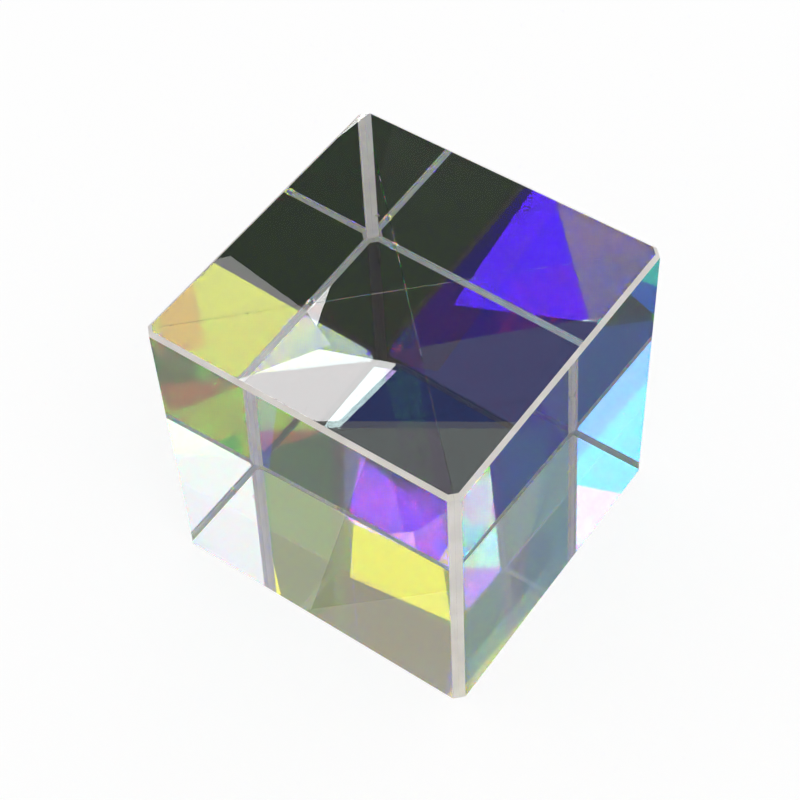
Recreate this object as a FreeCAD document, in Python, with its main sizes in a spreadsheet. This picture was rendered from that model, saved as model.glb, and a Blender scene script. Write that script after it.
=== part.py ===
import FreeCAD, Part
import Sketcher
import os

# Dichroic combiner prism: four right-angle glass prisms cemented into one block, with a
# red-reflecting and a blue-reflecting film that cross on the block's upright centre line.
# Millimetres. The origin is the centre of the underside and +Z runs up the crossing line.
# The exit face looks along -Y, the red port along +X, the green port along +Y and the
# blue port along -X.

os.makedirs("parts", exist_ok=True)
doc = FreeCAD.newDocument("combiner_prism")
dims = doc.addObject("Spreadsheet::Sheet", "dims")

# Driving dimensions
DRIVING = [
    ("side_length", 25.0, "port face to opposite port face"),
    ("block_height", 25.0, "underside to top"),
    ("corner_bevel", 0.64, "ground off each port face at an upright corner"),
    ("rim_bevel", 0.30, "ground off each face along a top or bottom edge"),
    ("film_thickness", 0.01, "one dielectric film stack"),
    ("cement_thickness", 0.02, "one layer of optical cement"),
    ("chip_radius", 0.5, "radius of a shell-shaped chip"),
    ("chip_depth", 0.12, "how deep a chip bites into the arris"),
    ("short_chip_run", 2.0, "rear corner to the chip in the red port's lower edge"),
    ("long_chip_run", 8.0, "rear corner to the chip in the green port's lower edge"),
    ("upright_chip_rise", 4.7, "underside to the chip beside the rear corner bevel"),
]

# Sizes that follow: the whole bond between two prisms, the distance from the centre line to
# a corner bevel, where a prism's legs begin and end, and how far a chip's centre stands off.
FOLLOWING = [
    ("half_side", "=side_length / 2"),
    ("half_bond", "=(film_thickness + cement_thickness) / 2"),
    ("bevel_reach", "=(side_length - corner_bevel) / sqrt(2)"),
    ("apex_inset", "=half_bond * sqrt(2)"),
    ("leg_end_across", "=(side_length - corner_bevel - apex_inset) / 2"),
    ("leg_end_out", "=(side_length - corner_bevel + apex_inset) / 2"),
    ("face_half", "=half_side - corner_bevel"),
    ("chip_standoff", "=chip_radius - chip_depth"),
]


def fill_sheet():
    """Write both lists into the sheet, one named value a row."""
    for row, (alias, value, *meaning) in enumerate(DRIVING + FOLLOWING, start=1):
        cell = "B" + str(row)
        dims.set("A" + str(row), alias)
        dims.set(cell, str(value))
        dims.setAlias(cell, alias)
        dims.set("C" + str(row), "".join(meaning))
    doc.recompute()


def new_body(label, turn):
    """A body turned about the centre line by a number of degrees."""
    body = doc.addObject("PartDesign::Body", label)
    body.Label = label
    upright = FreeCAD.Vector(0, 0, 1)
    body.Placement = FreeCAD.Placement(FreeCAD.Vector(), FreeCAD.Rotation(upright, turn))
    return body


def attach(feature, body, role, offsets):
    """Seat a sketch or a primitive on one of the body's own planes, offset by formulas."""
    plane = next(p for p in body.Origin.OriginFeatures if p.Role == role)
    feature.AttachmentSupport = [(plane, "")]
    feature.MapMode = "FlatFace"
    for axis, formula in offsets.items():
        feature.setExpression("AttachmentOffset.Base." + axis, formula)


def outline(body, name, role, corners, offsets):
    """A closed outline of straight lines, each corner held by two formulas."""
    sketch = body.newObject("Sketcher::SketchObject", name)
    attach(sketch, body, role, offsets)
    points = [FreeCAD.Vector(*map(sketch.evalExpression, pair), 0) for pair in corners]
    count = len(corners)
    for number, point in enumerate(points):
        sketch.addGeometry(Part.LineSegment(point, points[(number + 1) % count]), False)
    for number in range(count):
        following = (number + 1) % count
        sketch.addConstraint(Sketcher.Constraint("Coincident", number, 2, following, 1))
    for number, (pair, point) in enumerate(zip(corners, points)):
        for kind, formula, value in zip(("DistanceX", "DistanceY"), pair, point):
            rule = Sketcher.Constraint(kind, -1, 1, number, 1, value)
            index = sketch.addConstraint(rule)
            sketch.setExpression("Constraints[" + str(index) + "]", formula)
    return sketch


def pad(body, sketch, name, length):
    """The outline given its depth by one formula."""
    solid = body.newObject("PartDesign::Pad", name)
    solid.Profile = sketch
    solid.setExpression("Length", length)
    doc.recompute()
    return solid


def rim_edges(blank):
    """The edges of a prism's two ends, apart from those along its two cemented legs."""
    reach = dims.leg_end_out - dims.corner_bevel
    names = []
    for number, edge in enumerate(blank.Shape.Edges, start=1):
        box = edge.BoundBox
        level = box.ZLength < 1e-6
        outer = box.YMin < -reach and box.YMax < -reach
        if level and outer:
            names.append("Edge" + str(number))
    return names


# The four prisms. Each is a right-angle prism drawn with its right angle at the centre line
# and its port face along -Y, then turned to its own side. The outline takes in the ground
# corner bevels, and the rims are bevelled once the prism has its height.
PRISM_OUTLINE = [
    ("0", "-dims.apex_inset"),
    ("-dims.leg_end_across", "-dims.leg_end_out"),
    ("-dims.face_half", "-dims.half_side"),
    ("dims.face_half", "-dims.half_side"),
    ("dims.leg_end_across", "-dims.leg_end_out"),
]


def prism(label, turn):
    """One glass prism with bevelled rims."""
    body = new_body(label, turn)
    sketch = outline(body, label + "_outline", "XY_Plane", PRISM_OUTLINE, {})
    blank = pad(body, sketch, label + "_blank", "dims.block_height")
    rims = body.newObject("PartDesign::Chamfer", label + "_rims")
    rims.Base = (blank, rim_edges(blank))
    rims.setExpression("Size", "dims.rim_bevel")
    doc.recompute()
    return body


def chip(body, name, offsets):
    """A shell-shaped chip broken out of an arris of the prism."""
    shell = body.newObject("PartDesign::SubtractiveSphere", name)
    shell.setExpression("Radius", "dims.chip_radius")
    attach(shell, body, "XY_Plane", offsets)
    doc.recompute()


# A chip in a lower edge has its centre straight out from the middle of the rim bevel.
RIM_CHIP_OUT = "-dims.half_side + dims.rim_bevel / 2 - dims.chip_standoff / sqrt(2)"
RIM_CHIP_DOWN = "dims.rim_bevel / 2 - dims.chip_standoff / sqrt(2)"

fill_sheet()
prism("exit_prism", 0)
red_port = prism("red_port_prism", 90)
chip(red_port, "short_chip", {
    "x": "dims.half_side - dims.short_chip_run",
    "y": RIM_CHIP_OUT,
    "z": RIM_CHIP_DOWN,
})
chip(red_port, "upright_chip", {
    "x": "dims.face_half + dims.chip_standoff * sin(22.5 deg)",
    "y": "-dims.half_side - dims.chip_standoff * cos(22.5 deg)",
    "z": "dims.upright_chip_rise",
})
green_port = prism("green_port_prism", 180)
chip(green_port, "long_chip", {
    "x": "dims.long_chip_run - dims.half_side",
    "y": RIM_CHIP_OUT,
    "z": RIM_CHIP_DOWN,
})
prism("blue_port_prism", 270)


# The films and their cement. Each is a thin upright sheet on one of the two diagonal planes,
# drawn as reach along the diagonal against height, with the block's rim bevels in its ends.
def sheet_end(side):
    """The corners of a sheet's outer end, going up on the right side or down on the left."""
    near = side + "(dims.bevel_reach - dims.rim_bevel)"
    far = side + "dims.bevel_reach"
    end = [
        (near, "0"),
        (far, "dims.rim_bevel"),
        (far, "dims.block_height - dims.rim_bevel"),
        (near, "dims.block_height"),
    ]
    return end if side == "" else end[::-1]


def half_sheet(side):
    """A sheet from the far face of the other plane's bond out to one corner bevel."""
    inner = side + "dims.half_bond"
    ends = [(inner, "dims.block_height"), (inner, "0")]
    return sheet_end(side) + (ends if side == "" else ends[::-1])


def layer(label, turn, corners, start, thickness):
    """One thin layer, from a start plane through its thickness towards the local -Y."""
    body = new_body(label, turn)
    sketch = outline(body, label + "_outline", "XZ_Plane", corners, {"z": start})
    pad(body, sketch, label + "_sheet", thickness)


FILM_START = "-dims.half_bond"
CEMENT_START = "dims.film_thickness - dims.half_bond"

# The red-reflecting film covers the whole diagonal, because it is laid on a finished half
# block. The blue-reflecting film is in two halves, one inside each half block.
SHEETS = [
    ("red", "", 45, sheet_end("") + sheet_end("-")),
    ("blue", "_rear_left", 135, half_sheet("")),
    ("blue", "_front_right", 135, half_sheet("-")),
]
for colour, place, turn, corners in SHEETS:
    layer(colour + "_film" + place, turn, corners, FILM_START, "dims.film_thickness")
    layer(colour + "_cement" + place, turn, corners, CEMENT_START, "dims.cement_thickness")

doc.recompute()
for item in doc.Objects:
    if "Invalid" in item.State or "Error" in item.State:
        raise RuntimeError(item.Name + " failed: " + str(item.State))
bodies = [item for item in doc.Objects if item.TypeId == "PartDesign::Body"]
for body in bodies:
    if body.Shape.isNull() or not body.Shape.isValid() or len(body.Shape.Solids) != 1:
        raise RuntimeError(body.Label + " is not one valid solid")
for body in bodies:
    body.Shape.exportStep("parts/" + body.Label + ".step")
    print(body.Label, round(body.Shape.Volume, 4), len(body.Shape.Faces))
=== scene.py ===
import math

import bpy
from mathutils import Matrix, Vector


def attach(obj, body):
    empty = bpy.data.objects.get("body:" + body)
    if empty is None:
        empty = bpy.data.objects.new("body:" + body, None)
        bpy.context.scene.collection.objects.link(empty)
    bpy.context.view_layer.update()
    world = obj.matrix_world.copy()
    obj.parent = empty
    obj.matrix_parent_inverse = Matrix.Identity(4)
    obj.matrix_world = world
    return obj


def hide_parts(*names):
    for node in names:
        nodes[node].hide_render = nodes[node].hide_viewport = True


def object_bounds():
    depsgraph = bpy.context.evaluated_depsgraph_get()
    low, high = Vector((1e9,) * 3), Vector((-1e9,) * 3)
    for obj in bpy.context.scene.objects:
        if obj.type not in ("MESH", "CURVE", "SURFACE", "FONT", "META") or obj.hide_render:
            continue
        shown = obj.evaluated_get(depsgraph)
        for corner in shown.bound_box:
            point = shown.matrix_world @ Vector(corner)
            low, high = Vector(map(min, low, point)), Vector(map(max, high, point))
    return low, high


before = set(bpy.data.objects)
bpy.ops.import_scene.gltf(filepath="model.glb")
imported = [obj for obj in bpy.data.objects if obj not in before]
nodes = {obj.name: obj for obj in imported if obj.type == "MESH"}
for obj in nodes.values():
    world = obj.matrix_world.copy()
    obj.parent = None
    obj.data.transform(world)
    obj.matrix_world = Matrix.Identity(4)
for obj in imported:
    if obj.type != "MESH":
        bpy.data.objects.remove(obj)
cad_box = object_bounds()


# The four right-angle prisms: borosilicate crown glass, sawn, ground and polished on the
# three long faces and both ends. The legs are cemented to their neighbours, and every arris
# is ground off by hand on a flat lap, which leaves it matt and pale.
class Shade:
    """One socket of a material's nodes. A product written on it adds a Math node."""

    def __init__(self, tree, socket=None):
        self.tree = tree
        self.socket = socket

    def node(self, kind, settings=None, sockets=None, out=0):
        """A node of any type, its settings made first and then its sockets."""
        made = self.tree.nodes.new("ShaderNode" + kind)
        for name, value in (settings or {}).items():
            setattr(made, name, value)
        for name, value in (sockets or {}).items():
            if isinstance(value, Shade):
                self.tree.links.new(value.socket, made.inputs[name])
            else:
                made.inputs[name].default_value = value
        return Shade(self.tree, made.outputs[out] if made.outputs else None)

    def math(self, operation, *terms):
        return self.node("Math", {"operation": operation}, dict(enumerate(terms)))

    def __mul__(self, other):
        return self.math("MULTIPLY", self, other)

    __rmul__ = __mul__

    def rise(self, start, end):
        """0 up to start, 1 from end on, and a smooth slope between."""
        ends = {"Value": self, "From Min": start, "From Max": end}
        return self.node("MapRange", {"interpolation_type": "SMOOTHSTEP"}, ends)

    def mixed(self, first, second):
        """A shader that goes from the first to the second as this value goes from 0 to 1."""
        return self.node("MixShader", None, {0: self, 1: first, 2: second})


def finish(name, build):
    """A material whose surface is what build makes from an empty set of nodes."""
    made = bpy.data.materials.new(name)
    made.use_nodes = True
    made.node_tree.nodes.clear()
    surface = build(Shade(made.node_tree))
    surface.node("OutputMaterial", None, {"Surface": surface})
    return made


WHITE = (1.0, 1.0, 1.0, 1.0)
CROWN_INDEX = 1.517
WIPE_SPREAD = (60, 90, 60)
WIPE_ROUGHNESS = 0.02


def polished(start):
    """Clear polished glass with a few faint wipe marks."""
    place = start.node("TexCoord", out="Object")
    spread = start.node("Mapping", None, {"Vector": place, "Scale": WIPE_SPREAD})
    wipes = start.node("TexNoise", None, {"Vector": spread, "Scale": 3.0, "Detail": 4.0})
    marks = wipes.rise(0.58, 0.80)
    return start.node("BsdfPrincipled", None, {
        "Base Color": WHITE,
        "Roughness": marks * WIPE_ROUGHNESS,
        "IOR": CROWN_INDEX,
        "Transmission Weight": 1.0,
    })


def clear(start):
    """Glass against cement of the same index: light goes straight through."""
    return start.node("BsdfTransparent")


# The numbers that a Mix node gives its factor, its two colours and the colour it returns.
MIX_FACTOR, MIX_FIRST, MIX_SECOND, MIX_RESULT = 0, 6, 7, 2
GROUND_DULL = (0.86, 0.81, 0.76, 1.0)
GROUND_BRIGHT = (1.0, 0.95, 0.90, 1.0)
GROUND_GLOW = (1.0, 0.98, 0.95, 1.0)
GLOW_SHARE = 0.45
GRAIN_DEPTH = 0.00002


def ground(start):
    """Finely ground glass, pale from outside and from inside the block."""
    place = start.node("TexCoord", out="Object")
    grain = start.node("TexNoise", None, {"Vector": place, "Scale": 9000.0, "Detail": 2.0})
    patchy = start.node("TexNoise", None, {"Vector": place, "Scale": 420.0, "Detail": 3.0})
    tone = start.node("Mix", {"data_type": "RGBA"}, {
        MIX_FACTOR: patchy.rise(0.35, 0.65),
        MIX_FIRST: GROUND_DULL,
        MIX_SECOND: GROUND_BRIGHT,
    }, out=MIX_RESULT)
    depth = {"Strength": 0.35, "Distance": GRAIN_DEPTH, "Height": grain}
    outside = start.node("BsdfPrincipled", None, {
        "Base Color": tone,
        "Roughness": 0.55,
        "Normal": start.node("Bump", None, depth),
    })
    through = start.node("BsdfTranslucent", None, {"Color": GROUND_GLOW})
    return start.node("MixShader", None, {0: GLOW_SHARE, 1: outside, 2: through})


RIPPLE_DEPTH = 0.00003


def chipped(start):
    """A fresh shell-shaped break: clear, with fine ripples."""
    place = start.node("TexCoord", out="Object")
    ripples = start.node("TexNoise", None, {"Vector": place, "Scale": 5000.0})
    depth = {"Strength": 0.3, "Distance": RIPPLE_DEPTH, "Height": ripples}
    return start.node("BsdfPrincipled", None, {
        "Base Color": (0.96, 0.97, 0.97, 1.0),
        "Roughness": 0.12,
        "IOR": CROWN_INDEX,
        "Transmission Weight": 0.7,
        "Normal": start.node("Bump", None, depth),
    })


PRISM_FINISHES = [
    finish("polished_glass", polished),
    finish("cemented_leg", clear),
    finish("ground_edge", ground),
    finish("chipped_glass", chipped),
]
POLISHED, CEMENTED, GROUND, CHIPPED = range(len(PRISM_FINISHES))
NEAR_CENTRE_LINE = 0.001
ALONG_AN_AXIS = 0.9995
TURN_TOLERANCE = 0.01
SLOPE_TOLERANCE = 0.005


def face_kind(face):
    """Which finish a face of a prism has, from the way it looks and where it lies."""
    lean = sorted(abs(part) for part in face.normal)
    if lean[2] > ALONG_AN_AXIS:
        return POLISHED
    upright = abs(face.normal.z) < TURN_TOLERANCE
    diagonal = abs(abs(face.normal.x) - abs(face.normal.y)) < TURN_TOLERANCE
    if upright and diagonal:
        out = abs(face.normal.dot(face.center))
        return CEMENTED if out < NEAR_CENTRE_LINE else GROUND
    sloped = abs(abs(face.normal.z) - math.sqrt(0.5)) < SLOPE_TOLERANCE
    straight = lean[0] < SLOPE_TOLERANCE or diagonal
    return GROUND if sloped and straight else CHIPPED


for name in ("exit_prism", "red_port_prism", "green_port_prism", "blue_port_prism"):
    glass = nodes[name].data
    glass.materials.clear()
    for material in PRISM_FINISHES:
        glass.materials.append(material)
    for face in glass.polygons:
        face.material_index = face_kind(face)


# The two dichroic films: stacks of hard oxide layers a few micrometres thick, laid in vacuum
# on a prism's leg. Each sends back its own colour and lets the rest through without loss, and
# the colour shifts as light meets it more aslant.
def film(steep, slanting, grazing):
    """A film, given the share of red, green and blue that it sends back at three slants."""

    def split(start, back):
        """Light parted between what the film sends back and what it lets through."""
        through = tuple(1 - share for share in back)
        passed = start.node("BsdfTransparent", None, {"Color": (*through, 1.0)})
        mirror = {"Color": (*back, 1.0), "Roughness": 0.0}
        returned = start.node("BsdfAnisotropic", {"distribution": "GGX"}, mirror)
        return start.node("AddShader", None, {0: passed, 1: returned})

    def build(start):
        slant = start.node("LayerWeight", None, {"Blend": 0.5}, out="Facing")
        part_way = slant.rise(0.32, 0.48).mixed(split(start, steep), split(start, slanting))
        return slant.rise(0.70, 0.85).mixed(part_way, split(start, grazing))

    return build


# Each film is drawn as a sheet inside the middle of its node's thickness, with one working
# face, so that light meets the stack once on each crossing.
FILM_INSET = 0.2
OUT_AT_A_CORNER = 0.015
COATED, BONDED, GROUND_END = range(3)


def broad_side(mesh):
    """The way that a thin layer's broad side looks."""
    return max(mesh.polygons, key=lambda face: face.area).normal


def layer_kind(face, across):
    """Which finish a face of a film or of cement has: its outer ends were ground with the glass."""
    along = face.normal.dot(across)
    if abs(along) > 0.5:
        return COATED if along > 0.5 else BONDED
    level = abs(face.normal.z) > 0.9
    return BONDED if level or face.center.xy.length < OUT_AT_A_CORNER else GROUND_END


def finish_layer(mesh, across, coated, bonded):
    """Give a thin layer its coated side, its bonded side and its ground ends."""
    mesh.materials.clear()
    for material in (coated, bonded, PRISM_FINISHES[GROUND]):
        mesh.materials.append(material)
    for face in mesh.polygons:
        face.material_index = layer_kind(face, across)


def film_sheet(name, node, material):
    """A closed sheet of the node's own outline, thinner, with the film on one side."""
    source = nodes[node].data
    across = broad_side(source)
    levels = [across.dot(point.co) for point in source.vertices]
    middle = (min(levels) + max(levels)) / 2
    mesh = source.copy()
    mesh.name = name
    for point in mesh.vertices:
        away = across.dot(point.co) - middle
        point.co -= across * away * 2 * FILM_INSET
    for face in mesh.polygons:
        face.use_smooth = False
    finish_layer(mesh, across, material, PRISM_FINISHES[CEMENTED])
    sheet = bpy.data.objects.new(name, mesh)
    bpy.context.scene.collection.objects.link(sheet)
    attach(sheet, "root")
    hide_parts(node)
    return sheet


RED_BACK = film((0.99, 0.03, 0.01), (0.91, 0.99, 0.01), (0.13, 0.53, 0.04))
BLUE_BACK = film((0.10, 0.15, 0.99), (0.25, 0.01, 0.01), (0.97, 0.67, 0.74))
red_coating = finish("red_reflecting_film", RED_BACK)
blue_coating = finish("blue_reflecting_film", BLUE_BACK)
film_sheet("red_film_sheet", "red_film", red_coating)
for place in ("rear_left", "front_right"):
    sheet = film_sheet("blue_film_sheet_" + place, "blue_film_" + place, blue_coating)


# The optical cement: a clear resin of the glass's own index, cured by ultraviolet light in a
# layer about a third as thick as a hair. Nothing of it shows but a fine line at the ends.
resin = finish("clear_cement", clear)
for name in ("red_cement", "blue_cement_rear_left", "blue_cement_front_right"):
    layer = nodes[name].data
    finish_layer(layer, broad_side(layer), resin, resin)


# The floor is plain and pale, and shows white to the eye with the block's soft shadow on it.
# It lies a hair below the block, which leaves room for the dark cards under the glass.
def stage_sheet(name, corners, material):
    """A flat piece of the stage."""
    mesh = bpy.data.meshes.new(name)
    mesh.from_pydata([tuple(corner) for corner in corners], [], [tuple(range(len(corners)))])
    mesh.materials.append(material)
    piece = bpy.data.objects.new(name, mesh)
    bpy.context.scene.collection.objects.link(piece)
    return piece


FLOOR_PAINT = (0.93, 0.93, 0.93, 1.0)
FLOOR_WHITENESS = 0.8


def floor_finish(start):
    """Matt paint, and mostly plain white where the eye, a mirror or glass looks at it."""
    rays = [start.node("LightPath", out="Is %s Ray" % kind)
            for kind in ("Camera", "Glossy", "Transmission")]
    looked_at = start.math("MAXIMUM", start.math("MAXIMUM", rays[0], rays[1]), rays[2])
    matt = start.node("BsdfDiffuse", None, {"Color": FLOOR_PAINT})
    white = start.node("Emission", None, {"Color": WHITE, "Strength": 1.0})
    return (looked_at * FLOOR_WHITENESS).mixed(matt, white)


FLOOR_REACH = 1.5
FLOOR_LEVEL = -0.00004


def square(reach, level):
    return [(x * reach, y * reach, level) for x, y in ((-1, -1), (1, -1), (1, 1), (-1, 1))]


stage_sheet("floor", square(FLOOR_REACH, FLOOR_LEVEL), finish("pale_floor", floor_finish))


# Glass shows only what stands round it, and the photograph's block stood in a dim room with
# bright windows. Cards that the camera can't see stand for them: a dim sheet round the block,
# a near-black sheet of painted shadow in its footprint for the shade under it, and on each
# of its four sides a wall, at the heights that the glass looks up to, with panes.
def unseen(piece):
    """Seen in glass and mirrors only."""
    piece.visible_camera = False
    piece.visible_diffuse = False
    piece.visible_shadow = False
    return piece


def even_light(strength, colour=WHITE[:3]):
    def build(start):
        return start.node("Emission", None, {"Color": (*colour, 1.0), "Strength": strength})

    return build


low, high = cad_box
side = high.x - low.x
centre = (low + high) / 2
SHEET_LEVEL = FLOOR_LEVEL / 2
SHEET_REACH = 0.075
PAINTED_SHADOW_LEVEL = SHEET_LEVEL / 2
dim_floor = finish("dim_floor", even_light(1.0, (0.045, 0.033, 0.075)))
# Painted shadow: a near-black sheet in the block's footprint stands for the shade under the block
# that the glass looks down into.
painted_shadow_sheet = finish("painted_shadow_sheet", even_light(0.004))
unseen(stage_sheet("dim_sheet", square(SHEET_REACH, SHEET_LEVEL), dim_floor))
unseen(stage_sheet("painted_shadow_under_block", square(side / 2, PAINTED_SHADOW_LEVEL), painted_shadow_sheet))

# Two painted pools of light on the floor round the block, between the dim sheet and the
# painted shadow. Their corners are in sides of the block, from its centre.
PAINTED_LIGHT_POOLS = [
    ([(-2.4, 0.7), (-0.25, -0.05), (-0.05, 1.4), (-2.4, 1.4)], 0.56),
    ([(-2.5, -2.5), (-1.8, -2.5), (0.15, 0.4), (-0.05, 0.55), (-2.5, -2.1)], 0.3),
]
PATCH_STEP = 0.1
for number, (corners, strength) in enumerate(PAINTED_LIGHT_POOLS):
    name = "painted_light_patch_%d" % number
    level = SHEET_LEVEL * (1 - PATCH_STEP * (number + 1))
    places = [(x * side, y * side, level) for x, y in corners]
    unseen(stage_sheet(name, places, finish(name, even_light(strength))))

WALL_REACH = 6.0
WALL_HEIGHTS = (40, 64)
PANE_REACH = 5.0
PANE_GAP = 0.1


def toward(azimuth, elevation, distance):
    """A point that far from the block, by compass angle from +X to +Y and by height."""
    a, e = math.radians(azimuth), math.radians(elevation)
    flat = math.cos(e)
    return centre + Vector((math.cos(a) * flat, math.sin(a) * flat, math.sin(e))) * distance


def card(name, corners, distance, material):
    """A card whose corners lie at those compass angles and heights as the block sees them."""
    places = [toward(azimuth, elevation, distance) for azimuth, elevation in corners]
    return unseen(stage_sheet(name, places, material))


# The room's four sides. Each has a span of compass angles, its wall's colour and its panes, from
# the wall towards the block: their corners in compass angle and height, their brightness, where
# 1 is lit white paper, and their colour where it isn't white. Dim panes are shutters.
SIDES = {
    "rear": ((15, 75), (0.26, 0.36, 1.1), [
        ([(24, 41), (47, 42.5), (50.5, 52.5), (42.5, 53.5)], 13),
        ([(31, 53), (44.5, 52.5), (46, 62.5), (33.5, 62.5)], 1.35),
        ([(52, 44), (54.5, 58.5), (49, 57)], 1.05),
        ([(30.5, 46.5), (37.5, 43.5), (42, 50.5), (36, 51.5)], 0.4),
        ([(37, 43), (46, 47), (44, 50.5), (39.5, 48)], 0.3),
        ([(52.5, 61.5), (61.5, 56), (59, 62.5), (52.5, 62.5)], 0.8),
        ([(42, 49.4), (45, 47.5), (50, 47.5), (48.5, 51.5), (41, 50.5)], 3.7),
    ]),
    "left": ((105, 165), (1.05, 1.0, 2.1), [
        ([(128.5, 45), (140, 45), (136.5, 52), (129, 51)], 12),
        ([(136.5, 46.5), (139.5, 46.5), (138.5, 50), (136.5, 50)], 12, (1.0, 0.6, 0.15)),
        ([(123, 53), (133.5, 56.5), (123, 57)], 6),
        ([(150, 44), (158, 44), (152.5, 50), (144.5, 49.5)], 18),
        ([(148, 55.5), (156, 49), (156, 57), (148, 56)], 1.6),
        ([(126, 55.5), (130, 53.5), (131, 55.5), (125.5, 57)], 12, (1.0, 1.0, 0.8)),
        ([(125.5, 57), (132, 55), (132, 57.5), (126, 60)], 0.05),
    ]),
    "back": ((195, 255), (0.25, 0.48, 0.22), [
        ([(237.5, 48.5), (246, 47.5), (246, 62.5), (233, 63)], 0.43),
    ]),
    "right": ((285, 345), (1.4, 1.1, 1.1), [
        ([(301.5, 53.5), (305.5, 54.5), (304.5, 62.5), (300, 62.5)], 4.5),
        ([(317.5, 49.5), (322, 48.5), (322, 51), (315.5, 51)], 9.5),
        ([(290, 44.5), (309.5, 44), (308.5, 53.5), (290, 55)], 0.01),
        ([(329, 44), (340, 44), (340, 56.5), (324, 55.5)], 4.8),
    ]),
}

for place, (span, colour, panes) in SIDES.items():
    (first, last), (foot, top) = span, WALL_HEIGHTS
    bounds = [(first, foot), (last, foot), (last, top), (first, top)]
    card(place + "_wall", bounds, WALL_REACH, finish(place + "_wall", even_light(1.0, colour)))
    for number, (corners, *light) in enumerate(panes):
        name = "%s_pane_%d" % (place, number)
        reach = PANE_REACH - PANE_GAP * number
        card(name, corners, reach, finish(name, even_light(*light)))


# Plain soft light for the floor and the ground edges: an even white room and one round lamp
# on a stand, which glass and mirrors don't show.
world = bpy.data.worlds.new("plain_room")
bpy.context.scene.world = world
world.use_nodes = True
world.node_tree.nodes.clear()
room = Shade(world.node_tree)
background = room.node("Background", None, {"Color": WHITE, "Strength": 0.9})
room.node("OutputWorld", None, {"Surface": background})

LAMP_TURN = 250
LAMP_HEIGHT = 60
LAMP_DISTANCE = 0.8
lamp = bpy.data.lights.new("soft_lamp", "AREA")
lamp.shape = "DISK"
lamp.size = 0.5
lamp.energy = 1.2
lamp_stand = bpy.data.objects.new("soft_lamp", lamp)
bpy.context.scene.collection.objects.link(lamp_stand)
lamp_stand.location = toward(LAMP_TURN, LAMP_HEIGHT, LAMP_DISTANCE)
lamp_stand.visible_glossy = False
lamp_stand.visible_transmission = False
lamp_stand.rotation_euler = (centre - lamp_stand.location).to_track_quat("-Z", "Y").to_euler()


# The camera looks down on the corner between the exit face and the blue port, as the
# photograph does. Lengths are in sides of the block, and the lens is in millimetres.
CAMERA_TURN = math.radians(52.11)
CAMERA_HEIGHT = math.radians(52.12)
CAMERA_ROLL = math.radians(-3.38)
CAMERA_DISTANCE = 5.615
CAMERA_ASIDE = 0.0335
CAMERA_ABOVE = -0.0116
FOCAL_LENGTH = 88.46

flat = math.cos(CAMERA_HEIGHT)
ahead = Vector((
    math.sin(CAMERA_TURN) * flat,
    math.cos(CAMERA_TURN) * flat,
    -math.sin(CAMERA_HEIGHT),
))
sideways = ahead.cross(Vector((0, 0, 1))).normalized()
upward = sideways.cross(ahead)
rolled = sideways * math.cos(CAMERA_ROLL) + upward * math.sin(CAMERA_ROLL)
raised = upward * math.cos(CAMERA_ROLL) - sideways * math.sin(CAMERA_ROLL)
stand = centre - side * (rolled * CAMERA_ASIDE + raised * CAMERA_ABOVE + ahead * CAMERA_DISTANCE)
lens = bpy.data.cameras.new("camera")
lens.lens = FOCAL_LENGTH
lens.clip_start = 0.01
lens.clip_end = 10.0
camera = bpy.data.objects.new("camera", lens)
bpy.context.scene.collection.objects.link(camera)
turned = Matrix((rolled, raised, -ahead)).transposed().to_4x4()
camera.matrix_world = Matrix.Translation(stand) @ turned
bpy.context.scene.camera = camera

# Light crosses the films and the cement many times before it leaves the block.
CROSSINGS = 32
CLEAR_CROSSINGS = 160
scene = bpy.context.scene
scene.view_settings.view_transform = "Standard"
scene.cycles.max_bounces = CROSSINGS
scene.cycles.glossy_bounces = CROSSINGS
scene.cycles.transmission_bounces = CROSSINGS
scene.cycles.transparent_max_bounces = CLEAR_CROSSINGS
scene.cycles.sample_clamp_indirect = 0.0
